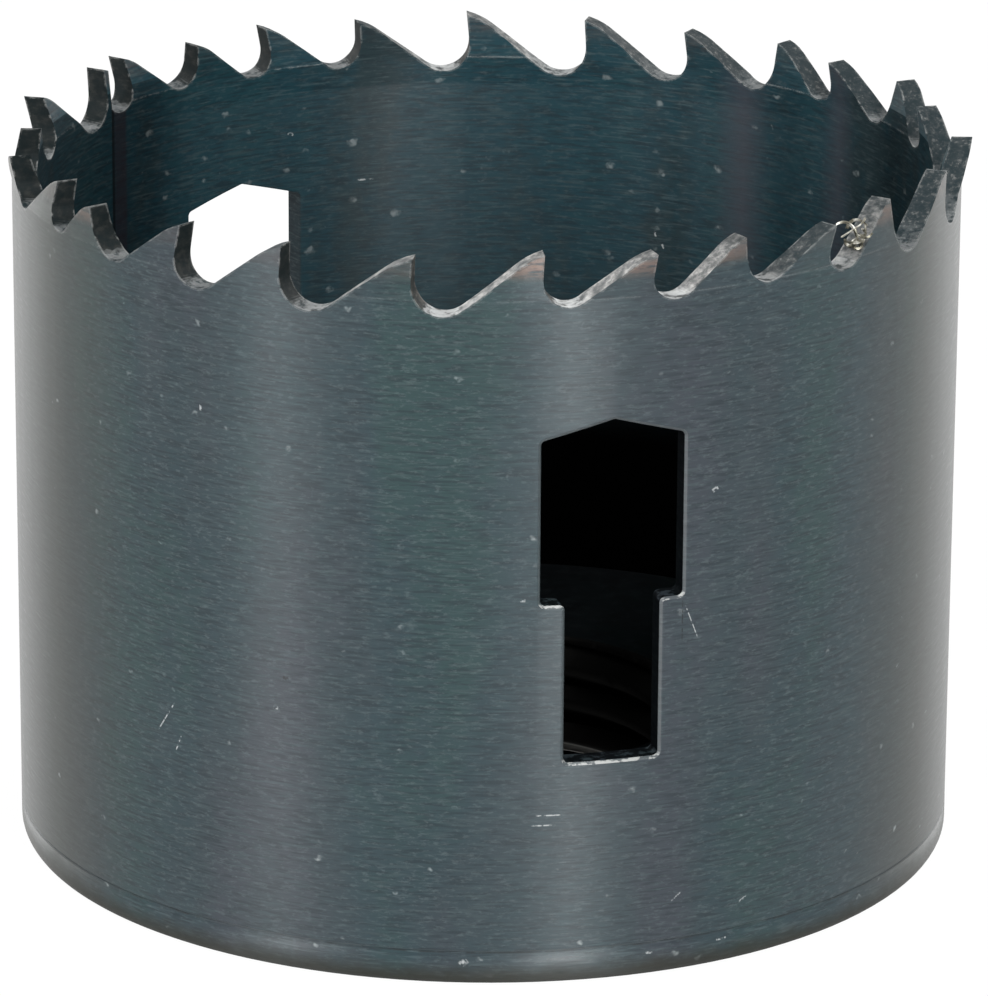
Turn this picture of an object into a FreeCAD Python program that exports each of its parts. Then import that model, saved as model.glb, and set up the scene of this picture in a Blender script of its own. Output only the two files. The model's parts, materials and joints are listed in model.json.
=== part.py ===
"""Hole saw, 36.5 mm: a rolled steel band with set, variable-pitch teeth, hard edge tips and an end plate.

Millimetres. +Z runs along the axis from the end plate to the teeth, and z = 0 is the end plate's outer
face. Azimuths are degrees about +Z, counter-clockwise seen from the teeth, from -Y, where the first slot is.
"""
import FreeCAD, Part
import math
import os

# Overall sizes
cutting_diameter = 36.5
overall_height = 27.6
wall = 0.95
tip_wall = 0.78
tooth_set = 0.35

# End plate: a disc whose rim carries the band and whose spigot centres it
plate_thickness = 4.8
plate_rim_height = 1.4
plate_edge_radius = 0.6
joint_bevel = 0.04
spigot_clearance = 0.05
spigot_bevel = 0.4
thread_bore_diameter = 14.5
thread_bevel = 0.7
pin_hole_inner_web = 1.55
pin_hole_outer_web = 1.7
pin_hole_bevel = 0.3
pin_hole_azimuths = (60.0, 240.0)

# Tooth strip: distances run along the strip's middle from the butt weld. Each pitch is the one after the
# tooth whose set stands at the same place in the repeating group.
seam_azimuth = 224.5
pitches = (4.8, 4.57, 3.86, 3.79, 3.53, 4.02, 4.46)
set_order = ("straight", "out", "in", "out", "in", "out", "in")
first_tip_from_seam = 0.3
last_tip_to_seam = 0.6
gullet_depth_per_pitch = 0.47
gullet_radius_per_pitch = 0.24
back_radius_per_pitch = 0.6
rake_angle = 5.0
tip_relief_angle = 15.0
bend_above_gullet = 0.09
hard_edge_height = 1.0

# Plug-ejection slots: a narrow lower part, a step, and a wider upper part under a peaked roof
slot_azimuths = (0.0, 200.2)
slot_foot = 8.63
slot_lower_height = 6.02
slot_roof_below_tips = 6.06
slot_roof_rise = 0.73
slot_lower_width = 3.54
slot_upper_width = 5.32
slot_corner_radius = 0.2
slot_edge_bevel = 0.1

# Sizes worked out from the ones above
outer_radius = cutting_diameter / 2 - tooth_set
inner_radius = outer_radius - wall
strip_radius = (outer_radius + inner_radius) / 2
strip_length = 2 * math.pi * strip_radius
bend_line = overall_height - gullet_depth_per_pitch * min(pitches) + bend_above_gullet
slot_step = slot_foot + slot_lower_height
slot_peak = overall_height - slot_roof_below_tips
spigot_radius = inner_radius - spigot_clearance
bore_radius = thread_bore_diameter / 2
pin_hole_radius = (spigot_radius - pin_hole_outer_web - bore_radius - pin_hole_inner_web) / 2
pin_circle_radius = bore_radius + pin_hole_inner_web + pin_hole_radius
cut_margin = 1.0
set_offsets = {"out": tooth_set, "in": -tooth_set, "straight": 0.0}

UP = FreeCAD.Vector(0, 0, 1)
ORIGIN = FreeCAD.Vector(0, 0, 0)


def turned(shape, azimuth):
    """A copy of a shape built on the -Y side, turned to an azimuth."""
    copy = shape.copy()
    copy.rotate(ORIGIN, UP, azimuth)
    return copy


def section(points):
    """A face in the -Y half plane from (radius, z) points."""
    corners = [FreeCAD.Vector(0, -radius, z) for radius, z in points]
    return Part.Face(Part.makePolygon(corners + corners[:1]))


def azimuth_of(distance):
    """The azimuth of a point at a distance along the strip from the weld."""
    return seam_azimuth + math.degrees(distance / strip_radius)


def radial_prism(wire):
    """A wire in the plane y = 0 pushed out through the wall, with room to spare on both sides."""
    depth = wall + 2 * tooth_set + 2 * cut_margin
    prism = Part.Face(wire).extrude(FreeCAD.Vector(0, -depth, 0))
    prism.translate(FreeCAD.Vector(0, -(inner_radius - tooth_set - cut_margin), 0))
    return prism


def rolled_prism(wire):
    """A wire in the plane y = 0 through the wall, as rolling leaves a cut in a flat strip: its width is
    true in the middle of the wall and shrinks towards the axis, and its heights stay."""
    rings = []
    for radius in (inner_radius - tooth_set - cut_margin, outer_radius + tooth_set + cut_margin):
        narrowed = FreeCAD.Matrix()
        narrowed.scale(radius / strip_radius, 1, 1)
        ring = wire.transformGeometry(narrowed)
        ring.translate(FreeCAD.Vector(0, -radius, 0))
        rings.append(ring)
    return Part.makeLoft(rings, True, True)


def tooth_places():
    """Distance along the strip, kind in the repeating pattern and set of each tooth."""
    places = []
    distance = first_tip_from_seam
    kind = 0
    while distance <= strip_length - last_tip_to_seam:
        places.append((distance, kind, set_order[kind]))
        distance += pitches[kind]
        kind = (kind + 1) % len(pitches)
    return places


def gullet_floor(pitch):
    """The distance from a tip to the lowest point of the gullet in front of it, which the rake face meets."""
    rake = math.radians(rake_angle)
    rake_height = (gullet_depth_per_pitch - gullet_radius_per_pitch) * pitch
    return gullet_radius_per_pitch * pitch / math.cos(rake) - rake_height * math.tan(rake)


def gullet_wire(pitch):
    """The space from one tip (x = 0) to the next (x = pitch): a raked face, a round gullet, and a
    straight back that a convex arc rolls over into the next tip's relief."""
    top = overall_height
    gullet_radius = gullet_radius_per_pitch * pitch
    back_radius = back_radius_per_pitch * pitch
    rake = math.radians(rake_angle)
    relief = math.radians(tip_relief_angle)
    gullet_x = gullet_floor(pitch)
    gullet_z = top - gullet_depth_per_pitch * pitch + gullet_radius
    back_x = pitch + back_radius * math.sin(relief)
    back_z = top - back_radius * math.cos(relief)
    span_x = back_x - gullet_x
    span_z = back_z - gullet_z
    slope = math.atan2(span_z, span_x) + math.asin((gullet_radius + back_radius) / math.hypot(span_x, span_z))

    def on_gullet(angle):
        return FreeCAD.Vector(gullet_x + gullet_radius * math.sin(angle), 0, gullet_z - gullet_radius * math.cos(angle))

    def on_back(angle):
        return FreeCAD.Vector(back_x - back_radius * math.sin(angle), 0, back_z + back_radius * math.cos(angle))

    past_tip = FreeCAD.Vector(pitch + wall / 2, 0, top + wall / 2 * math.tan(relief))
    clear_height = top + 2 * cut_margin
    rake_top = FreeCAD.Vector((clear_height - top) * math.tan(rake), 0, clear_height)
    rake_end = -math.pi / 2 - rake
    rake_foot = on_gullet(rake_end)
    edges = [
        Part.makeLine(rake_top, rake_foot),
        Part.Arc(rake_foot, on_gullet((slope + rake_end) / 2), on_gullet(slope)).toShape(),
        Part.makeLine(on_gullet(slope), on_back(slope)),
        Part.Arc(on_back(slope), on_back((slope + relief) / 2), on_back(relief)).toShape(),
        Part.makeLine(on_back(relief), past_tip),
        Part.makeLine(past_tip, FreeCAD.Vector(past_tip.x, 0, clear_height)),
        Part.makeLine(FreeCAD.Vector(past_tip.x, 0, clear_height), rake_top),
    ]
    return Part.Wire(edges)


def gullet_cutter(tip, pitch):
    """The cutter for the gap in front of a tip."""
    wire = gullet_wire(pitch)
    wire.translate(FreeCAD.Vector(-pitch / 2, 0, 0))
    return turned(rolled_prism(wire), azimuth_of(tip + pitch / 2))


def seam_cutters(first, last):
    """The gaps that the strip's two cut ends break off."""
    block_size = 2 * max(pitches)
    height = 2 * overall_height
    depth = 2 * outer_radius
    after_weld = Part.makeBox(block_size, depth, height, FreeCAD.Vector(0, -depth, 0))
    before_weld = Part.makeBox(block_size, depth, height, FreeCAD.Vector(-block_size, -depth, 0))
    distance, kind, _ = first
    pitch = pitches[kind - 1]
    wire = gullet_wire(pitch)
    wire.translate(FreeCAD.Vector(distance - pitch, 0, 0))
    start = rolled_prism(wire)
    distance, kind, _ = last
    pitch = pitches[kind]
    wire = gullet_wire(pitch)
    wire.translate(FreeCAD.Vector(distance - strip_length, 0, 0))
    end = rolled_prism(wire)
    return [turned(start.common(after_weld), seam_azimuth), turned(end.common(before_weld), seam_azimuth)]


def tooth_blank(start, end, tooth_offset):
    """A stretch of wall above the bend line, thinned from inside and leaning so that the set moves its tip."""
    top = overall_height + cut_margin
    growth = (top - bend_line) / (overall_height - bend_line)
    lean = tooth_offset * growth
    thinning = (wall - tip_wall) * growth
    blank = section([
        (inner_radius, bend_line),
        (outer_radius, bend_line),
        (outer_radius + lean, top),
        (inner_radius + lean + thinning, top),
    ])
    blank.rotate(ORIGIN, UP, azimuth_of(start))
    return blank.revolve(ORIGIN, UP, math.degrees((end - start) / strip_radius))


def make_toothed_band():
    """The rolled band in one piece, up to the tooth tips, with its gullets cut."""
    profile = section([
        (inner_radius, plate_rim_height),
        (outer_radius - joint_bevel, plate_rim_height),
        (outer_radius, plate_rim_height + joint_bevel),
        (outer_radius, bend_line),
        (inner_radius, bend_line),
    ])
    band = turned(profile, seam_azimuth).revolve(ORIGIN, UP, 360)
    teeth = tooth_places()
    blanks = []
    cutters = seam_cutters(teeth[0], teeth[-1])
    start = 0.0
    for number, (tip, kind, lean) in enumerate(teeth):
        floor = tip + gullet_floor(pitches[kind])
        end = min(floor, strip_length)
        room = gullet_room(pitches[kind])
        blanks.append(tooth_blank(start, end - room, set_offsets[lean]))
        if number + 1 < len(teeth):
            cutters.append(gullet_cutter(tip, pitches[kind]))
        start = floor + room
    return band.fuse(blanks).removeSplitter().cut(cutters)


def gullet_room(pitch):
    """Half of a gullet's half width at the bend line, so that blanks of unlike set stay apart."""
    radius = gullet_radius_per_pitch * pitch
    drop = gullet_depth_per_pitch * pitch - (overall_height - bend_line)
    return math.sqrt(drop * (2 * radius - drop)) / 2 if drop < radius else radius / 2


def slot_cutter(azimuth):
    """The opening of one slot, its corners rounded, through the wall at an azimuth."""
    low = slot_lower_width / 2
    high = slot_upper_width / 2
    shoulder = slot_peak - slot_roof_rise
    outline = [
        (-low, slot_foot), (low, slot_foot), (low, slot_step), (high, slot_step),
        (high, shoulder), (0, slot_peak), (-high, shoulder), (-high, slot_step), (-low, slot_step),
    ]
    corners = [FreeCAD.Vector(x, 0, z) for x, z in outline]
    prism = radial_prism(Part.makePolygon(corners + corners[:1]))
    across_wall = [edge for edge in prism.Edges if abs(edge.tangentAt(edge.FirstParameter).y) > 0.99]
    corner_radius = min(slot_corner_radius, 0.4 * (high - low))
    return turned(prism.makeFillet(corner_radius, across_wall), azimuth)


def slot_mouth_edges(shell):
    """The edges where the slots break the band's outer face."""
    edges = []
    for edge in shell.Edges:
        points = edge.discretize(5)
        on_outer_face = all(abs(math.hypot(point.x, point.y) - outer_radius) < 1e-4 for point in points)
        between_ends = plate_rim_height + joint_bevel < edge.BoundBox.ZMin and edge.BoundBox.ZMax < bend_line
        along_slot = all(slot_foot - 0.01 < point.z < slot_peak + 0.01 for point in points)
        if on_outer_face and between_ends and along_slot:
            edges.append(edge)
    return edges


def make_end_plate():
    """The end plate: rounded rim, spigot, threaded centre bore at its minor diameter, and drive-pin holes."""
    edge_centre = (outer_radius - plate_edge_radius, plate_edge_radius)
    corner = plate_edge_radius * math.sqrt(0.5)
    edge_start = FreeCAD.Vector(0, -edge_centre[0], 0)
    edge_middle = FreeCAD.Vector(0, -(edge_centre[0] + corner), edge_centre[1] - corner)
    edge_end = FreeCAD.Vector(0, -outer_radius, plate_edge_radius)
    rest = [FreeCAD.Vector(0, -radius, z) for radius, z in [
        (outer_radius, plate_rim_height),
        (spigot_radius, plate_rim_height),
        (spigot_radius, plate_thickness - spigot_bevel),
        (spigot_radius - spigot_bevel, plate_thickness),
        (bore_radius + thread_bevel, plate_thickness),
        (bore_radius, plate_thickness - thread_bevel),
        (bore_radius, thread_bevel),
        (bore_radius + thread_bevel, 0),
    ]]
    outline = Part.Wire([Part.Arc(edge_start, edge_middle, edge_end).toShape()]
                        + Part.makePolygon([edge_end] + rest + [edge_start]).Edges)
    plate = Part.Face(outline).revolve(ORIGIN, UP, 360)
    return plate.cut([turned(pin_hole_cutter(), azimuth) for azimuth in pin_hole_azimuths])


def pin_hole_cutter():
    """A drive-pin hole with both mouths bevelled, on the -Y side."""
    mouth = pin_hole_radius + pin_hole_bevel
    hole = section([
        (0, 0),
        (mouth, 0),
        (pin_hole_radius, pin_hole_bevel),
        (pin_hole_radius, plate_thickness - pin_hole_bevel),
        (mouth, plate_thickness),
        (0, plate_thickness),
    ]).revolve(ORIGIN, UP, 360)
    hole.translate(FreeCAD.Vector(0, -pin_circle_radius, 0))
    return hole


def make_parts():
    """Each separate piece by name."""
    toothed_band = make_toothed_band()
    reach = 2 * cutting_diameter
    edge_line = overall_height - hard_edge_height
    corner = FreeCAD.Vector(-reach / 2, -reach / 2, edge_line)
    above_edge_line = Part.makeBox(reach, reach, overall_height, corner)
    shell = toothed_band.cut(above_edge_line)
    shell = shell.cut([slot_cutter(azimuth) for azimuth in slot_azimuths])
    shell = shell.makeChamfer(slot_edge_bevel, slot_mouth_edges(shell))
    tips = toothed_band.common(above_edge_line)
    return {
        "saw_shell": shell,
        "tooth_tips": tips,
        "end_plate": make_end_plate(),
    }


os.makedirs("parts", exist_ok=True)
for name, shape in make_parts().items():
    print(name, "solids", len(shape.Solids), "valid", shape.isValid(), "volume", round(shape.Volume, 3))
    shape.exportStep(os.path.join("parts", name + ".step"))
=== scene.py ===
"""The look of the 36.5 mm hole saw: brushed steel under a thin dark enamel, bare tooth flanks, heat-tinted tips
and a threaded end plate. Metres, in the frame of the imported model: +Z from the end plate to the teeth."""
import json
import math

import bpy
from mathutils import Euler, Matrix, Vector

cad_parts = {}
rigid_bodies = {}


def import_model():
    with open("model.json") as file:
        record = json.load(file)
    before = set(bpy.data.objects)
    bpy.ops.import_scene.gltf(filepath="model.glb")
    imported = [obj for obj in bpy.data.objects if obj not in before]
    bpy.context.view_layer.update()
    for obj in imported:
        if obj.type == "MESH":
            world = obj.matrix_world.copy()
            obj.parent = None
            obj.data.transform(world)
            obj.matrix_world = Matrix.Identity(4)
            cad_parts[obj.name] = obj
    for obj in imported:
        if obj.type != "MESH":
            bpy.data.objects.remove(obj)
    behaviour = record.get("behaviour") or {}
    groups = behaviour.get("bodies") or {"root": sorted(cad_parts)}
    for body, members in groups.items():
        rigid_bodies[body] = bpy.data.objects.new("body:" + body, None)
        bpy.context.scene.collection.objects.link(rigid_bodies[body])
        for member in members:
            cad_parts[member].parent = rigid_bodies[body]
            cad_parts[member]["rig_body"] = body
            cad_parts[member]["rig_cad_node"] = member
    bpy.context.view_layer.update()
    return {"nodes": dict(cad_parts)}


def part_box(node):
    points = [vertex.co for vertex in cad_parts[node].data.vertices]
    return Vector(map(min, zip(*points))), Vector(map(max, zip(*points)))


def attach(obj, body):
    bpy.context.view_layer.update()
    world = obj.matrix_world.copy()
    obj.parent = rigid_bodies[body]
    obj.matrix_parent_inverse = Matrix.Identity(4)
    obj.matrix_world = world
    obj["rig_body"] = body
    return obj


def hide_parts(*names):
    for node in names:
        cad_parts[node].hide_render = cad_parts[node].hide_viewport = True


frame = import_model()
bpy.context.scene.view_settings.view_transform = "Standard"

MM = 0.001

# Sizes read from the frame
shell_low, shell_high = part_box("saw_shell")
tips_low, tips_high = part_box("tooth_tips")
plate_low, plate_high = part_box("end_plate")
TEETH_TOP = tips_high.z
EDGE_LINE = tips_low.z
BODY_RADIUS = (plate_high.x - plate_low.x) / 2
PLATE_TOP = plate_high.z
BAND_FOOT = shell_low.z
MEAN_RADIUS = BODY_RADIUS - 0.475 * MM
GULLET_FLOOR = TEETH_TOP - 2.26 * MM
EDGE_ROUND = 0.12 * MM
SEAM_AZIMUTH = -135.5

# The arbor's thread, 5/8 in with 18 turns to the inch
THREAD_MAJOR_RADIUS = 7.94 * MM
THREAD_PITCH = 25.4 * MM / 18
THREAD_CUT_DEPTH = 1.04 * MM

# A nest of swarf in one gullet: size, rise, turns, width, lean, turn and place of each curl
SWARF_AZIMUTH = 34.6
SWARF_HEIGHT = 26.45 * MM
SWARF_THICKNESS = 0.02 * MM
SWARF_CURLS = (
    (0.20, 0.30, 1.2, 0.07, 70, 10, (0.05, 0.0, -0.12)),
    (0.16, 0.55, 2.2, 0.05, 25, 80, (0.12, -0.05, -0.05)),
    (0.34, 0.30, 0.55, 0.05, -55, 140, (0.0, 0.05, 0.05)),
    (0.24, 0.80, 0.9, 0.04, 60, 40, (-0.05, 0.0, 0.10)),
    (0.45, 0.70, 0.5, 0.04, -40, 235, (-0.15, 0.0, 0.15)),
    (0.75, 0.50, 0.30, 0.04, 20, 200, (0.15, 0.0, 0.30)),
    (0.60, 0.40, 0.35, 0.03, 78, 290, (-0.30, 0.0, 0.35)),
    (0.50, 0.30, 0.40, 0.03, 85, 120, (0.10, 0.0, 0.40)),
)

# Where the world's dark band starts and ends below the floor, from 0 straight down to 1 straight up: painted shade that
# keeps the view down through the bore black
SHADE_BAND_LOW = 0.26
SHADE_BAND_HIGH = 0.45

# The camera of the photograph
LONG_SIDE_PX = 996
FOCAL_PX = 6835
SENSOR = 36.0
CAMERA_TURN = -15.0
CAMERA_DISTANCE = 249.2 * MM
CAMERA_HEIGHT = 94.2 * MM
CAMERA_TILT = 18.06
CAMERA_ROLL = 0.351
CENTRE_LEFT_PX = 9.5


class Socket:
    """A node's output in a sum: an expression on it adds the Math nodes that work it out."""

    def __init__(self, finish, output):
        self.finish = finish
        self.output = output

    def math(self, operation, *values):
        inputs = dict(enumerate((self, *values)))
        return self.finish.node("ShaderNodeMath", {"operation": operation}, inputs)

    def __add__(self, other):
        return self.math("ADD", other)

    __radd__ = __add__

    def __sub__(self, other):
        return self.math("SUBTRACT", other)

    def __rsub__(self, other):
        return self.finish.node("ShaderNodeMath", {"operation": "SUBTRACT"}, {0: other, 1: self})

    def __mul__(self, other):
        return self.math("MULTIPLY", other)

    __rmul__ = __mul__

    def __truediv__(self, other):
        return self.math("DIVIDE", other)

    def absolute(self):
        return self.math("ABSOLUTE")

    def sine(self):
        return self.math("SINE")

    def step(self, low, high):
        """0 below low, 1 above high, and smooth between them."""
        return self.finish.node(
            "ShaderNodeMapRange",
            {"interpolation_type": "SMOOTHSTEP"},
            {"Value": self, "From Min": low, "From Max": high},
        )

    def ramp(self, *stops):
        """A colour for each place on the way from 0 to 1."""
        return self.finish.node("ShaderNodeValToRGB", {"stops": stops}, {"Fac": self})


class Finish:
    """One material under construction."""

    def __init__(self, name):
        self.material = bpy.data.materials.new(name)
        self.material.use_nodes = True
        self.tree = self.material.node_tree
        self.tree.nodes.clear()

    def node(self, kind, settings=None, inputs=None, output=0):
        """Adds a node, its settings first and then its inputs, and returns one of its outputs."""
        made = self.tree.nodes.new(kind)
        for key, value in (settings or {}).items():
            if key == "stops":
                self.set_stops(made.color_ramp, value)
            else:
                setattr(made, key, value)
        for key, value in (inputs or {}).items():
            if isinstance(value, Socket):
                self.tree.links.new(value.output, made.inputs[key])
            else:
                made.inputs[key].default_value = value
        return Socket(self, made.outputs[output])

    def set_stops(self, ramp, stops):
        while len(ramp.elements) < len(stops):
            ramp.elements.new(1.0)
        for element, (place, colour) in zip(ramp.elements, stops):
            element.position = place
            element.color = (*colour, 1.0)

    def place(self):
        """Millimetres on the object: the position as a vector, and its x, y and z."""
        coordinates = self.node("ShaderNodeTexCoord", output="Object")
        millimetres = self.vector("SCALE", coordinates, Scale=1 / MM)
        parts = [self.node("ShaderNodeSeparateXYZ", inputs={0: millimetres}, output=axis) for axis in "XYZ"]
        return millimetres, *parts

    def vector(self, operation, *values, output=0, **named):
        """A Vector Math node on its values."""
        return self.node("ShaderNodeVectorMath", {"operation": operation}, {**dict(enumerate(values)), **named}, output)

    def stretched(self, vector, round_scale, height_scale):
        """The position with detail of one size round the axis and another along it."""
        return self.vector("MULTIPLY", vector, (round_scale, round_scale, height_scale))

    def noise(self, vector, scale=1.0, detail=2.0, roughness=0.5):
        return self.node(
            "ShaderNodeTexNoise",
            {"noise_dimensions": "3D"},
            {"Vector": vector, "Scale": scale, "Detail": detail, "Roughness": roughness},
        )

    def mix(self, factor, first, second):
        """One colour laid over another by a factor."""
        made = self.tree.nodes.new("ShaderNodeMix")
        made.data_type = "RGBA"
        for name, value in (("Factor_Float", factor), ("A_Color", first), ("B_Color", second)):
            socket = next(s for s in made.inputs if s.identifier == name)
            if isinstance(value, Socket):
                self.tree.links.new(value.output, socket)
            elif name == "Factor_Float":
                socket.default_value = value
            else:
                socket.default_value = (*value, 1.0)
        result = next(s for s in made.outputs if s.identifier == "Result_Color")
        return Socket(self, result)

    def principled(self, **inputs):
        """The surface shader: underscores in a name stand for spaces."""
        named = {key.replace("_", " "): value for key, value in inputs.items()}
        return self.node("ShaderNodeBsdfPrincipled", inputs=named, output="BSDF")

    def painted_shade_black(self):
        """Dull black: painted shade for what never sees the light."""
        return self.node(
            "ShaderNodeBsdfPrincipled",
            inputs={"Base Color": (0.0006, 0.0006, 0.0006, 1.0), "Roughness": 1.0, "Specular IOR Level": 0.0},
            output="BSDF",
        )

    def mixed(self, factor, first, second):
        """Two shaders in one, by a factor."""
        return self.node("ShaderNodeMixShader", inputs={0: factor, 1: first, 2: second})

    def done(self, surface):
        output = self.tree.nodes.new("ShaderNodeOutputMaterial")
        self.tree.links.new(surface.output, output.inputs["Surface"])
        return self.material


class Band:
    """Where a point lies on the saw's band, for one material: masks are 1 where they apply and 0 elsewhere."""

    def __init__(self, finish):
        self.finish = finish
        self.position, x, y, self.height = finish.place()
        self.radius = (x * x + y * y).math("SQRT")
        self.round = x.math("ARCTAN2", y * -1.0) * (MEAN_RADIUS / MM)
        outward = finish.vector("NORMALIZE", finish.vector("MULTIPLY", self.position, (1, 1, 0)))
        plain = finish.node("ShaderNodeNewGeometry", output="True Normal")
        facing = finish.vector("DOT_PRODUCT", plain, outward, output="Value")
        forward = finish.vector("CROSS_PRODUCT", (0, 0, 1), outward)
        ahead = finish.vector("DOT_PRODUCT", plain, forward, output="Value")
        rise = finish.node("ShaderNodeSeparateXYZ", inputs={0: plain}, output="Z")
        self.outside = facing.step(0.80, 0.95)
        self.inside = (facing * -1.0).step(0.80, 0.95)
        self.cut = 1.0 - facing.absolute().step(0.55, 0.65)
        self.bevel = 1.0 - (facing - math.sqrt(0.5)).absolute().step(0.06, 0.12)
        self.upward = rise.step(0.1, 0.45)
        self.level = rise.step(0.72, 0.95)
        self.rake = ahead.step(0.30, 0.60)
        self.turn = x.math("ARCTAN2", y * -1.0) / (2 * math.pi) + 0.5
        self.back_turn = x.math("ARCTAN2", y) / math.pi + 0.5
        self.toothed = self.height.step(GULLET_FLOOR / MM - 0.6, GULLET_FLOOR / MM - 0.3)
        off_join = (self.height - EDGE_LINE / MM).absolute().step(0.10, 0.22)
        rounded = finish.node("ShaderNodeBevel", {"samples": 2}, {"Radius": off_join * EDGE_ROUND})
        self.joint = 1.0 - (self.height - BAND_FOOT / MM).absolute().step(0.04, 0.08)
        flush = finish.vector("SCALE", outward, Scale=self.joint * 8.0)
        self.soft_normal = finish.vector("NORMALIZE", finish.vector("ADD", rounded, flush))
        smooth = finish.node("ShaderNodeNewGeometry", output="Normal")
        bend = finish.vector("DOT_PRODUCT", rounded, smooth, output="Value")
        self.edge = (1.0 - bend).step(0.004, 0.06) * off_join
        self.patchy = finish.noise(self.position, scale=2.2, detail=4.0, roughness=0.6)
        self.drift = finish.noise(self.position, scale=0.16, detail=1.0)
        self.broken = finish.noise(self.position, scale=7.0, detail=2.0).step(0.38, 0.58)

    def from_azimuth(self, azimuth):
        """Millimetres round the band from an azimuth in degrees, which is between -180 and 180."""
        return self.round - math.radians(azimuth) * MEAN_RADIUS / MM

    def share(self, turn, places):
        """How much of something there is, from a list of places round the band and the share at each."""
        return turn.ramp(*((place, (amount,) * 3) for place, amount in places))

    def mark(self, azimuth, height, length, width, tilt=0.0):
        """A short straight mark, in millimetres round and along the band, leaning by a tilt in degrees."""
        lean = math.radians(tilt)
        sideways = self.from_azimuth(azimuth)
        up = self.height - height
        along = (sideways * math.cos(lean) + up * math.sin(lean)).absolute()
        aside = (up * math.cos(lean) - sideways * math.sin(lean)).absolute()
        return (1.0 - along.step(length * 0.35, length * 0.5)) * (1.0 - aside.step(width * 0.2, width * 0.5))

    def marks(self, places):
        """Several marks in one mask, each broken up as a real scuff is."""
        total = self.mark(*places[0])
        for place in places[1:]:
            total = total.math("MAXIMUM", self.mark(*place))
        return total * self.broken

    def dashes(self, round_scale, height_scale, low, high, shift=0.0):
        """Fine broken lines round the band, as a belt leaves them."""
        moved = self.finish.vector("ADD", self.position, (0, 0, shift))
        lines = self.finish.stretched(moved, round_scale, height_scale)
        return self.finish.noise(lines, detail=2.0, roughness=0.5).step(low, high)

    def specks(self, scale, size, share):
        """Pinholes and nibs in the enamel: a share of the cells of a loose pattern has one."""
        wobble = self.finish.node(
            "ShaderNodeTexNoise",
            inputs={"Vector": self.position, "Scale": 5.0, "Detail": 0.0},
            output="Color",
        )
        bent = self.finish.vector("ADD", self.position, self.finish.vector("SCALE", wobble, Scale=0.22))
        cells = self.finish.stretched(bent, scale, scale * 1.5)
        distance = self.finish.node("ShaderNodeTexVoronoi", inputs={"Vector": cells, "Scale": 1.0})
        chance = Socket(self.finish, distance.output.node.outputs["Color"])
        pick = self.finish.node("ShaderNodeSeparateXYZ", inputs={0: chance}, output="X")
        reach = pick.step(1.0 - share, 1.0) * size
        return (reach - distance).step(-0.05, 0.14) * self.patchy.step(0.35, 0.60)


# What varies round the band, by place: for the inner wall 0 and 1 are at its two sides and 0.5 at the back,
# and for the teeth 0 and 1 are at the back and 0.5 in the middle of the first slot
# Painted shade: a darker olive tint on the outer wall where it turns edge-on to the camera, on both sides
PAINTED_SIDE_SHADE = (
    (0.189, 0.0), (0.222, 0.7), (0.283, 0.7), (0.330, 0.0),
    (0.595, 0.0), (0.639, 0.7), (0.694, 0.7), (0.733, 0.0),
)
# Painted reflections: two light vertical bands on the inner wall
PAINTED_GLINTS = ((0.762, 0.0), (0.788, 1.0), (0.814, 0.0), (0.866, 0.0), (0.886, 0.9), (0.906, 0.0))
SMOKE = (
    (0.283, 0.9), (0.376, 0.1), (0.463, 0.1), (0.530, 0.7), (0.60, 0.1),
    (0.677, 0.5), (0.73, 0.9), (0.788, 0.0), (0.833, 0.5), (0.95, 1.0),
)
SHADE = (
    (0.25, 0.55), (0.30, 0.5), (0.345, 0.05), (0.37, 0.0), (0.80, 0.0), (0.833, 0.2), (0.87, 0.0),
    (0.93, 0.2), (0.96, 0.5),
)
# Partly enamel left on the tooth flanks, partly painted shade that darkens the rakes away from the front of the first
# slot
TOOTH_ENAMEL_AND_SHADE = (
    (0.30, 0.9), (0.395, 0.9), (0.425, 0.2), (0.545, 0.0), (0.562, 0.85), (0.580, 0.85),
    (0.592, 0.5), (0.607, 0.5), (0.622, 0.92), (0.90, 0.92), (0.95, 0.4),
)


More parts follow.
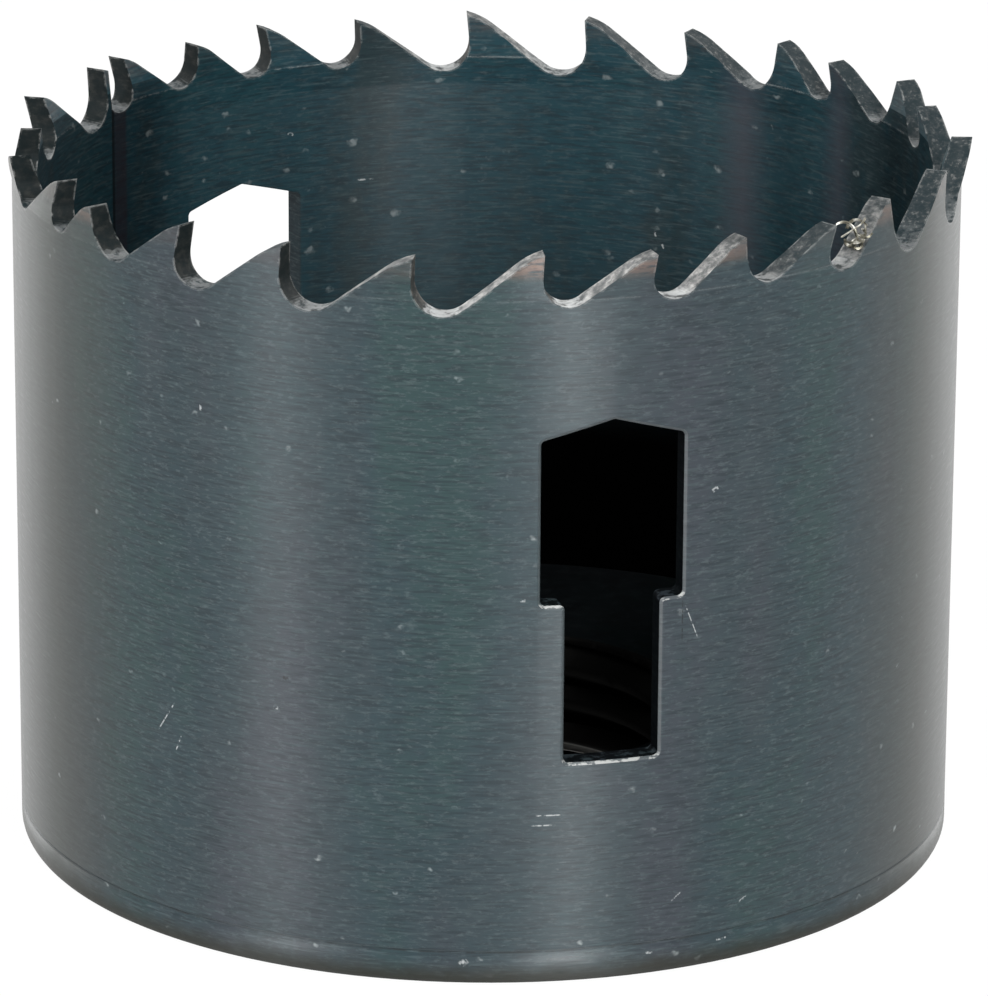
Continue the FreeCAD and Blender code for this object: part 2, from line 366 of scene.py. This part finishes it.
def band_colour(finish, band):
    """The enamel on the band's two faces: slate and green-grey clouds, with the steel's grain showing through, painted
    shade on the outer wall's sides and painted reflections on the inner wall.
    """
    cloud = finish.noise(finish.stretched(band.position, 0.21, 0.05), detail=2.0, roughness=0.5)
    mottle = finish.noise(band.position, scale=1.3, detail=3.0, roughness=0.6)
    crumb = finish.noise(finish.stretched(band.position, 2.6, 8.0), detail=3.0, roughness=0.7)
    tint = (cloud * 0.8 + mottle * 0.2).ramp(
        (0.36, (0.013, 0.035, 0.037)), (0.46, (0.014, 0.031, 0.038)), (0.56, (0.018, 0.031, 0.038)), (0.66, (0.023, 0.031, 0.040))
    )
    inner_tint = (cloud * 0.7 + mottle * 0.3).ramp(
        (0.36, (0.009, 0.038, 0.047)), (0.52, (0.007, 0.031, 0.042)), (0.62, (0.013, 0.028, 0.033))
    )
    colour = finish.mix(band.inside, tint, inner_tint)
    dark_lines = band.dashes(1.0, 10.0, 0.48, 0.64)
    light_lines = band.dashes(0.9, 10.0, 0.52, 0.70, shift=7.3)
    colour = finish.mix(dark_lines * 0.58, colour, (0.006, 0.014, 0.019))
    colour = finish.mix(light_lines * 0.28, colour, (0.080, 0.110, 0.115))
    colour = finish.mix(crumb.step(0.50, 0.72) * (0.30 - band.inside * 0.10), colour, (0.090, 0.115, 0.12))
    low_more = (1.6 - band.height.step(2.0, 8.0) * 0.6) * band.outside + band.inside
    specks = band.specks(1.1, band.inside * 0.09 + 0.17, 0.40 + band.inside * 0.1) * low_more
    # Painted shade on the outer wall's two sides
    colour = finish.mix(band.share(band.turn, PAINTED_SIDE_SHADE) * band.outside, colour, (0.020, 0.022, 0.015))
    # Painted reflections: light bands on the inner wall
    painted_glints = band.share(band.back_turn, PAINTED_GLINTS) * band.inside
    colour = finish.mix(painted_glints * 0.6, colour, (0.050, 0.050, 0.062))
    return finish.mix(specks * 0.34, colour, (0.36, 0.40, 0.40)), light_lines, specks


def flank_colour(finish, band, colour):
    """The cut faces of the teeth: ground backs with scraps of enamel, dull rakes darkened by enamel and painted shade,
    bare edges, and bare gullet floors with a painted highlight where they face up.
    """
    along = finish.noise(finish.stretched(band.position, 2.2, 3.4), detail=4.0, roughness=0.68)
    ground = (along * 0.75 + band.drift * 0.25).ramp(
        (0.36, (0.030, 0.037, 0.038)), (0.46, (0.085, 0.090, 0.090)), (0.54, (0.19, 0.19, 0.185)), (0.66, (0.44, 0.43, 0.41))
    )
    rake = along.ramp((0.38, (0.010, 0.014, 0.014)), (0.52, (0.032, 0.033, 0.030)), (0.66, (0.095, 0.090, 0.080)))
    # Enamel left on the flanks, and painted shade on the rakes
    enamel_and_shade = band.share(band.turn, TOOTH_ENAMEL_AND_SHADE)
    rake = finish.mix(enamel_and_shade * 0.9, rake, (0.004, 0.008, 0.009))
    speckle = finish.noise(band.position, scale=6.5, detail=3.0, roughness=0.7)
    scraped = speckle.step(0.50, 0.68) * 0.45
    ground = finish.mix(enamel_and_shade * (1.0 - scraped), ground, (0.012, 0.022, 0.026))
    flank = finish.mix(band.rake, ground, rake)
    colour = finish.mix(band.cut * band.toothed, colour, flank)
    bare = band.edge * along.step(0.40, 0.56) * band.toothed
    colour = finish.mix(bare * 0.6, colour, (0.42, 0.43, 0.42))
    # Bare steel on the gullet floors with a painted highlight where they face up
    low_in_gullet = 1.0 - band.height.step(GULLET_FLOOR / MM + 0.55, GULLET_FLOOR / MM + 0.9)
    gullet_floor_highlight = band.level * band.cut * band.toothed * low_in_gullet * along.step(0.36, 0.54)
    gullet_floor_highlight = gullet_floor_highlight * (1.0 - enamel_and_shade * 0.75)
    colour = finish.mix(gullet_floor_highlight * 0.75, colour, (0.58, 0.60, 0.60))
    dullness = band.cut * band.toothed * band.rake.math("MAXIMUM", enamel_and_shade) * (1.0 - gullet_floor_highlight)
    return colour, dullness


def heat_tint(finish, band, colour):
    """The brown that the edge strip's weld and the grinding leave near the tips, stronger on some teeth."""
    streaks = finish.noise(finish.stretched(band.position, 1.2, 5.0), detail=3.0, roughness=0.6)
    below_top = (TEETH_TOP / MM - 0.05 - band.height) + (streaks - 0.5) * 0.6
    hue = below_top.ramp((0.0, (0.16, 0.14, 0.13)), (0.3, (0.19, 0.125, 0.10)), (0.62, (0.12, 0.085, 0.068)), (1.0, (0.06, 0.055, 0.05)))
    spread = 1.0 - below_top.step(0.50, 0.95)
    strongest = 1.0 - band.from_azimuth(2.0).absolute().step(2.5, 7.0)
    strength = (strongest * 0.45 + band.drift.step(0.40, 0.60) * 0.35) * streaks.step(0.35, 0.55) + 0.08
    return finish.mix(spread * strength * (1.0 - band.cut) * (1.0 - band.inside * 0.6), colour, hue)


OUTSIDE_SCUFFS = (
    (-55.5, 8.9, 1.5, 0.07, 57.0),
    (-53.6, 8.0, 0.7, 0.07, 68.0),
    (-7.4, 6.66, 0.95, 0.07, 0.0),
    (-8.2, 6.28, 0.80, 0.07, 0.0),
    (-17.2, 0.98, 0.35, 0.30, 40.0),
    (-49.9, 21.1, 0.10, 0.34, 0.0),
    (-39.9, 10.2, 0.22, 0.14, 0.0),
    (8.2, 3.04, 0.50, 0.07, 40.0),
    (17.2, 2.47, 0.40, 0.08, 28.0),
    (9.7, 13.6, 1.5, 0.05, -69.0),
    (14.3, 1.07, 0.45, 0.10, 5.0),
    (4.9, 0.99, 0.30, 0.12, 0.0),
    (12.5, 18.5, 0.28, 0.20, 30.0),
    (-10.6, 14.9, 0.20, 0.15, 0.0),
)
DARK_SCRATCHES = (
    (8.5, 13.7, 1.7, 0.06, 90.0),
    (-38.6, 11.4, 0.25, 0.20, 0.0),
    (-43.8, 14.5, 0.20, 0.16, 0.0),
)
INSIDE_SCUFFS = (
    (141.4, 19.1, 0.30, 0.12, 80.0),
    (140.2, 18.6, 0.25, 0.12, 60.0),
    (-178.2, 21.1, 0.75, 0.10, 0.0),
    (-167.4, 23.3, 0.30, 0.16, 20.0),
)


def enamelled_steel():
    """Thin dark blue-grey enamel that lets the brushed steel's grain show through, with painted shade deep in the cup
    and in the front slot.
    """
    finish = Finish("enamelled_steel")
    band = Band(finish)
    colour, light_lines, specks = band_colour(finish, band)
    seam = band.from_azimuth(SEAM_AZIMUTH)
    seam_groove = (1.0 - (seam + 0.05).absolute().step(0.05, 0.14)) * (1.0 - band.cut)
    seam_bead = (1.0 - (seam + 0.55).absolute().step(0.30, 0.50)) * (1.0 - band.cut)
    colour = finish.mix(seam_groove * 0.85, colour, (0.002, 0.003, 0.004))
    colour = finish.mix(seam_bead * band.inside * 0.6, colour, (0.020, 0.013, 0.018))
    scuffs = band.marks(OUTSIDE_SCUFFS) * band.outside + band.marks(INSIDE_SCUFFS) * band.inside
    colour = finish.mix(scuffs * 0.7, colour, (0.42, 0.44, 0.44))
    colour = finish.mix(band.marks(DARK_SCRATCHES) * band.outside * 0.8, colour, (0.004, 0.006, 0.006))
    colour, dull_flank = flank_colour(finish, band, colour)
    # Bare steel on the slot's chamfered rim, with a painted highlight, broken up, along its up-facing ledges
    slot_rim = band.bevel * (1.0 - band.toothed)
    ledge_highlight_noise = finish.noise(finish.stretched(band.position, 2.5, 6.0), detail=3.0, roughness=0.65)
    bare_rim_and_highlight = 0.09 + band.upward * ledge_highlight_noise.step(0.47, 0.58) * 0.75
    colour = finish.mix(slot_rim * bare_rim_and_highlight, colour, (0.40, 0.41, 0.40))
    grain = finish.noise(finish.stretched(band.position, 1.0, 12.0), detail=3.0, roughness=0.55)
    flank = band.cut * band.toothed
    height = grain * (1.0 - flank) + specks * 0.8 + band.patchy * flank * 2.0 + seam_bead * 1.5 - seam_groove * 3.0
    bump = finish.node(
        "ShaderNodeBump",
        inputs={"Strength": 0.4, "Distance": 0.02 * MM, "Height": height, "Normal": band.soft_normal},
    )
    surface = finish.principled(
        Base_Color=colour,
        Metallic=flank * band.upward * 0.5 + light_lines * 0.25,
        Roughness=0.37 + grain * 0.12 - light_lines * 0.06,
        Normal=bump,
        Anisotropic=0.9,
        Anisotropic_Rotation=0.25,
    )
    smoke = band.share(band.back_turn, SMOKE).math("MAXIMUM", band.toothed * 0.8)
    shade = band.share(band.back_turn, SHADE)
    # Painted shade: black mixed into the inner wall deep in the cup and round it by SHADE, and into the front slot's
    # walls
    depth_in_cup = 1.0 - band.height.step(10.0, 17.0)
    front_slot = 1.0 - band.round.absolute().step(6.0, 7.0)
    slot_wall = band.cut * (1.0 - band.toothed) * band.height.step(4.0, 6.0)
    ledge_burr = band.upward * band.patchy.step(0.46, 0.62) * 0.5
    dull = finish.principled(Base_Color=colour, Roughness=0.7, Specular_IOR_Level=0.1)
    surface = finish.mixed(smoke * band.inside + dull_flank * 0.9 + slot_wall * 0.9, surface, dull)
    in_cup = depth_in_cup.math("MAXIMUM", shade) * band.inside
    unlit = in_cup.math("MAXIMUM", slot_wall * front_slot * (0.9 - ledge_burr))
    return finish.done(finish.mixed(unlit, surface, finish.painted_shade_black()))


def hard_edge_steel():
    """The tips: enamel like the band's, a brown heat tint that fades below the cutting edge, and ground flanks."""
    finish = Finish("hard_edge_steel")
    band = Band(finish)
    colour, light_lines, specks = band_colour(finish, band)
    colour = heat_tint(finish, band, colour)
    colour, dull_flank = flank_colour(finish, band, colour)
    bump = finish.node(
        "ShaderNodeBump",
        inputs={"Strength": 0.4, "Distance": 0.03 * MM, "Height": band.patchy, "Normal": band.soft_normal},
    )
    surface = finish.principled(
        Base_Color=colour,
        Metallic=band.cut * band.upward * 0.5 + light_lines * 0.25,
        Roughness=0.36 + band.patchy * 0.16,
        Normal=bump,
        Anisotropic=0.9,
        Anisotropic_Rotation=0.25,
    )
    dull = finish.principled(Base_Color=colour, Roughness=0.7, Specular_IOR_Level=0.1)
    return finish.done(finish.mixed(dull_flank * 0.9 + band.inside * 0.8, surface, dull))


def plate_enamel():
    """The end plate: enamel darker and olive towards the rolled bottom edge, turned rings beneath, bare steel in the
    thread, painted shade inside the cup.
    """
    finish = Finish("plate_enamel")
    band = Band(finish)
    colour, light_lines, specks = band_colour(finish, band)
    blotch = finish.noise(band.position, scale=1.1, detail=4.0, roughness=0.6)
    grain = finish.noise(finish.stretched(band.position, 1.0, 12.0), detail=3.0, roughness=0.55)
    # Darker and olive towards the bottom edge
    low = 1.0 - (band.height + blotch * 0.5).step(0.5, 1.4)
    colour = finish.mix(low * 0.85, colour, (0.012, 0.012, 0.006))
    colour = finish.mix(band.joint * blotch.step(0.46, 0.60) * band.outside * 0.6, colour, (0.005, 0.008, 0.009))
    colour = finish.mix(band.marks(OUTSIDE_SCUFFS) * band.outside * 0.7, colour, (0.42, 0.44, 0.44))
    thread = 1.0 - band.radius.step(THREAD_MAJOR_RADIUS / MM + 0.02, THREAD_MAJOR_RADIUS / MM + 0.12)
    colour = finish.mix(thread * 0.9, colour, (0.20, 0.20, 0.19))
    rings = (band.radius * 9.0 + blotch * 1.5).sine()
    height = grain * band.outside + (blotch + rings * 0.25) * (1.0 - band.outside)
    bump = finish.node(
        "ShaderNodeBump",
        inputs={"Strength": 0.4, "Distance": 0.02 * MM, "Height": height, "Normal": band.soft_normal},
    )
    surface = finish.principled(
        Base_Color=colour,
        Metallic=thread * 0.8,
        Roughness=0.37 + grain * 0.12 + low * 0.2,
        Normal=bump,
        Anisotropic=0.9,
        Anisotropic_Rotation=0.25,
    )
    # Painted shade: black mixed into the plate's top and bore inside the cup
    in_cup = (1.0 - band.radius.step(BODY_RADIUS / MM - 1.2, BODY_RADIUS / MM - 1.0)) * band.height.step(0.05, 0.60)
    return finish.done(finish.mixed(in_cup * (0.9 + thread * 0.07), surface, finish.painted_shade_black()))


def chip_steel():
    """Bright steel swarf with a straw tint."""
    finish = Finish("chip_steel")
    position, x, y, z = finish.place()
    tarnish = finish.noise(position, scale=3.0, detail=3.0)
    colour = tarnish.ramp((0.38, (0.035, 0.035, 0.025)), (0.52, (0.18, 0.17, 0.13)), (0.64, (0.62, 0.61, 0.55)))
    return finish.done(finish.principled(Base_Color=colour, Metallic=0.7, Roughness=0.3 + tarnish * 0.2))


def deselect():
    bpy.ops.object.select_all(action="DESELECT")


def copy_of(node, name):
    """A merged copy of a CAD node's mesh, to be worked on."""
    deselect()
    piece = frame["nodes"][node].copy()
    piece.data = piece.data.copy()
    piece.name = name
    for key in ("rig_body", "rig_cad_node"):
        del piece[key]
    piece.parent = None
    bpy.context.scene.collection.objects.link(piece)
    bpy.context.view_layer.objects.active = piece
    piece.select_set(True)
    bpy.ops.object.mode_set(mode="EDIT")
    bpy.ops.mesh.select_all(action="SELECT")
    bpy.ops.mesh.remove_doubles(threshold=0.0005 * MM)
    bpy.ops.object.mode_set(mode="OBJECT")
    return piece


def apply_modifier(piece, kind, **settings):
    """Adds a modifier, sets it and applies it."""
    modifier = piece.modifiers.new(kind.lower(), kind)
    for key, value in settings.items():
        setattr(modifier, key, value)
    deselect()
    bpy.context.view_layer.objects.active = piece
    piece.select_set(True)
    bpy.ops.object.modifier_apply(modifier=modifier.name)


def shade_by_angle(piece, degrees):
    deselect()
    bpy.context.view_layer.objects.active = piece
    piece.select_set(True)
    bpy.ops.object.shade_smooth_by_angle(angle=math.radians(degrees))


def select_points(piece, test):
    """In edit mode, selects the points whose place passes a test."""
    bpy.ops.mesh.select_all(action="DESELECT")
    bpy.ops.object.mode_set(mode="OBJECT")
    for vertex in piece.data.vertices:
        vertex.select = test(vertex.co)
    bpy.ops.object.mode_set(mode="EDIT")
    bpy.ops.mesh.select_mode(type="VERT")


def make_thread_cutter():
    """A helical ridge with a 60 degree flank angle: the space that the arbor's thread takes."""
    inner = THREAD_MAJOR_RADIUS - THREAD_CUT_DEPTH
    root_flat = THREAD_PITCH / 8
    foot = root_flat + 2 * THREAD_CUT_DEPTH * math.tan(math.radians(30))
    deselect()
    bpy.ops.mesh.primitive_plane_add(size=1, rotation=(math.radians(90), 0, 0))
    cutter = bpy.context.object
    cutter.name = "thread_cutter"
    cutter.scale = (THREAD_CUT_DEPTH, root_flat, 1)
    cutter.location = (inner + THREAD_CUT_DEPTH / 2, 0, -THREAD_PITCH)
    bpy.ops.object.transform_apply(location=True, rotation=True, scale=True)
    bpy.ops.object.mode_set(mode="EDIT")
    select_points(cutter, lambda point: point.x < inner + THREAD_CUT_DEPTH / 2)
    bpy.ops.transform.resize(value=(1, 1, foot / root_flat), center_override=(inner, 0, -THREAD_PITCH))
    bpy.ops.object.mode_set(mode="OBJECT")
    turns = math.ceil((PLATE_TOP + 2 * THREAD_PITCH) / THREAD_PITCH)
    apply_modifier(
        cutter, "SCREW", axis="Z", angle=2 * math.pi, screw_offset=THREAD_PITCH, iterations=turns,
        steps=96, render_steps=96, use_merge_vertices=False,
    )
    bpy.ops.object.mode_set(mode="EDIT")
    bpy.ops.mesh.select_all(action="SELECT")
    bpy.ops.mesh.remove_doubles(threshold=0.0005 * MM)
    bpy.ops.mesh.fill_holes(sides=4)
    bpy.ops.mesh.select_all(action="SELECT")
    bpy.ops.mesh.normals_make_consistent(inside=False)
    bpy.ops.object.mode_set(mode="OBJECT")
    return cutter


def make_threaded_plate():
    """The end plate with the arbor's thread cut in its bore."""
    plate = copy_of("end_plate", "threaded_end_plate")
    cutter = make_thread_cutter()
    apply_modifier(plate, "BOOLEAN", operation="DIFFERENCE", solver="EXACT", object=cutter)
    bpy.data.objects.remove(cutter)
    shade_by_angle(plate, 32)
    apply_modifier(plate, "WEIGHTED_NORMAL", keep_sharp=True)
    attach(plate, "root")
    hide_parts("end_plate")
    return plate


def make_curl(radius, rise, turns, width):
    """One curl of swarf round +Z: a thin ribbon, tighter at one end."""
    deselect()
    bpy.ops.mesh.primitive_plane_add(size=1, rotation=(math.radians(90), 0, 0))
    curl = bpy.context.object
    curl.scale = (0.0001, width, 1)
    curl.location = (radius, 0, 0)
    bpy.ops.object.transform_apply(location=True, rotation=True, scale=True)
    bpy.ops.object.mode_set(mode="EDIT")
    bpy.ops.mesh.select_all(action="SELECT")
    bpy.ops.mesh.remove_doubles(threshold=0.001 * MM)
    bpy.ops.object.mode_set(mode="OBJECT")
    apply_modifier(
        curl, "SCREW", axis="Z", angle=2 * math.pi * turns, screw_offset=rise, iterations=1,
        steps=int(28 * turns), render_steps=int(28 * turns), use_merge_vertices=False,
    )
    apply_modifier(curl, "SIMPLE_DEFORM", deform_method="TAPER", deform_axis="Z", factor=-0.5)
    apply_modifier(curl, "SOLIDIFY", thickness=SWARF_THICKNESS, offset=0.0)
    return curl


def make_swarf():
    """A small nest of curled chips, caught in a gullet."""
    angle = math.radians(SWARF_AZIMUTH)
    radius = MEAN_RADIUS + 0.05 * MM
    centre = Vector((radius * math.sin(angle), -radius * math.cos(angle), SWARF_HEIGHT))
    curls = []
    for size, rise, turns, width, lean, turn, shift in SWARF_CURLS:
        curl = make_curl(size * MM, rise * MM, turns, width * MM)
        curl.rotation_euler = (math.radians(lean), 0, math.radians(turn))
        curl.location = centre + Vector(shift) * MM
        bpy.ops.object.transform_apply(location=True, rotation=True, scale=True)
        curls.append(curl)
    deselect()
    for curl in curls:
        curl.select_set(True)
    bpy.context.view_layer.objects.active = curls[0]
    bpy.ops.object.join()
    swarf = bpy.context.object
    swarf.name = "swarf"
    shade_by_angle(swarf, 40)
    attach(swarf, "root")
    return swarf


def set_finish(piece, material):
    piece.data.materials.clear()
    piece.data.materials.append(material)


def make_camera():
    """The photograph's camera: its turn, tilt, roll and long lens."""
    turn = math.radians(CAMERA_TURN)
    data = bpy.data.cameras.new("photo_camera")
    data.lens = SENSOR * FOCAL_PX / LONG_SIDE_PX
    data.sensor_width = SENSOR
    data.clip_start = 0.01
    data.clip_end = 20.0
    camera = bpy.data.objects.new("photo_camera", data)
    bpy.context.scene.collection.objects.link(camera)
    yaw = math.atan(CENTRE_LEFT_PX / FOCAL_PX)
    place = Matrix.Translation(
        (CAMERA_DISTANCE * math.sin(turn), -CAMERA_DISTANCE * math.cos(turn), CAMERA_HEIGHT)
    )
    aim = Euler((math.radians(90.0 - CAMERA_TILT), 0.0, turn - yaw)).to_matrix().to_4x4()
    camera.matrix_world = place @ aim @ Matrix.Rotation(math.radians(CAMERA_ROLL), 4, "Z")
    bpy.context.scene.camera = camera


def make_floor():
    """A pale floor that is white to the camera, keeps the saw's shadow and is open below its end plate."""
    bpy.ops.object.select_all(action="DESELECT")
    bpy.ops.mesh.primitive_circle_add(vertices=96, radius=1.5, fill_type="NGON")
    floor = bpy.context.object
    floor.name = "floor"
    finish = Finish("pale_floor")
    diffuse = finish.node("ShaderNodeBsdfDiffuse", inputs={"Color": (0.85, 0.85, 0.85, 1.0)})
    glow = finish.node("ShaderNodeEmission", inputs={"Color": (1.0, 1.0, 1.0, 1.0), "Strength": 1.02})
    path = finish.tree.nodes.new("ShaderNodeLightPath")
    seen = Socket(finish, path.outputs["Is Camera Ray"])
    mirrored = Socket(finish, path.outputs["Is Glossy Ray"])
    through = Socket(finish, path.outputs["Is Transmission Ray"])
    position, x, y, z = finish.place()
    from_axis = finish.node("ShaderNodeMath", {"operation": "SQRT"}, {0: x * x + y * y})
    pale = finish.mixed((seen + mirrored + through) * 0.96, diffuse, glow)
    under_saw = 1.0 - from_axis.step(BODY_RADIUS / MM - 0.65, BODY_RADIUS / MM - 0.60)
    opening = finish.node("ShaderNodeBsdfTransparent", inputs={"Color": (1.0, 1.0, 1.0, 1.0)})
    set_finish(floor, finish.done(finish.mixed(under_saw, pale, opening)))


def make_world():
    """White round the object, at a plain level for soft light, and dark in a band below the horizon: painted shade for
    the view down through the bore.
    """
    world = bpy.data.worlds.new("studio")
    bpy.context.scene.world = world
    world.use_nodes = True
    nodes = world.node_tree.nodes
    links = world.node_tree.links
    background = nodes["Background"]
    background.inputs["Color"].default_value = (1.0, 1.0, 1.0, 1.0)
    path = nodes.new("ShaderNodeLightPath")
    add = nodes.new("ShaderNodeMath")
    add.operation = "ADD"
    links.new(path.outputs["Is Camera Ray"], add.inputs[0])
    links.new(path.outputs["Is Glossy Ray"], add.inputs[1])
    add_through = nodes.new("ShaderNodeMath")
    add_through.operation = "ADD"
    add_through.use_clamp = True
    links.new(add.outputs[0], add_through.inputs[0])
    links.new(path.outputs["Is Transmission Ray"], add_through.inputs[1])
    strength = nodes.new("ShaderNodeMapRange")
    strength.inputs["To Min"].default_value = 0.45
    strength.inputs["To Max"].default_value = 1.0
    links.new(add_through.outputs[0], strength.inputs["Value"])
    direction = nodes.new("ShaderNodeTexCoord")
    split = nodes.new("ShaderNodeSeparateXYZ")
    links.new(direction.outputs["Generated"], split.inputs[0])
    # Painted shade: a dark band in the world below the horizon
    edge = nodes.new("ShaderNodeValToRGB")
    edge.color_ramp.interpolation = "CONSTANT"
    stops = ((0.0, 1.0), (SHADE_BAND_LOW, 0.0), (SHADE_BAND_HIGH, 1.0))
    while len(edge.color_ramp.elements) < len(stops):
        edge.color_ramp.elements.new(1.0)
    for element, (place, level) in zip(edge.color_ramp.elements, stops):
        element.position = place
        element.color = (level, level, level, 1.0)
    upright = nodes.new("ShaderNodeMapRange")
    upright.inputs["From Min"].default_value = -1.0
    links.new(split.outputs["Z"], upright.inputs["Value"])
    links.new(upright.outputs[0], edge.inputs["Fac"])
    links.new(edge.outputs["Color"], background.inputs["Color"])
    links.new(strength.outputs[0], background.inputs["Strength"])


def make_softbox(name, turn, distance, height, width, length, watts):
    """A tall soft light that faces the saw."""
    data = bpy.data.lights.new(name, "AREA")
    data.shape = "RECTANGLE"
    data.size = width
    data.size_y = length
    data.energy = watts
    lamp = bpy.data.objects.new(name, data)
    bpy.context.scene.collection.objects.link(lamp)
    angle = math.radians(turn + CAMERA_TURN)
    lamp.location = (distance * math.sin(angle), -distance * math.cos(angle), height)
    target = Vector((0.0, 0.0, TEETH_TOP / 2))
    lamp.rotation_mode = "QUATERNION"
    lamp.rotation_quaternion = (lamp.location - target).to_track_quat("Z", "Y")


make_camera()
make_floor()
make_world()
make_softbox("left_softbox", -51.0, 0.5, 0.28, 0.10, 0.5, 1.75)
make_softbox("right_softbox", 21.0, 0.5, 0.32, 0.08, 0.5, 3.2)
make_softbox("left_rim_softbox", -142.0, 0.6, 0.20, 0.25, 0.5, 1.45)
make_softbox("right_rim_softbox", 142.0, 0.6, 0.20, 0.25, 0.5, 1.45)

set_finish(frame["nodes"]["saw_shell"], enamelled_steel())
set_finish(frame["nodes"]["tooth_tips"], hard_edge_steel())
set_finish(make_threaded_plate(), plate_enamel())
set_finish(make_swarf(), chip_steel())
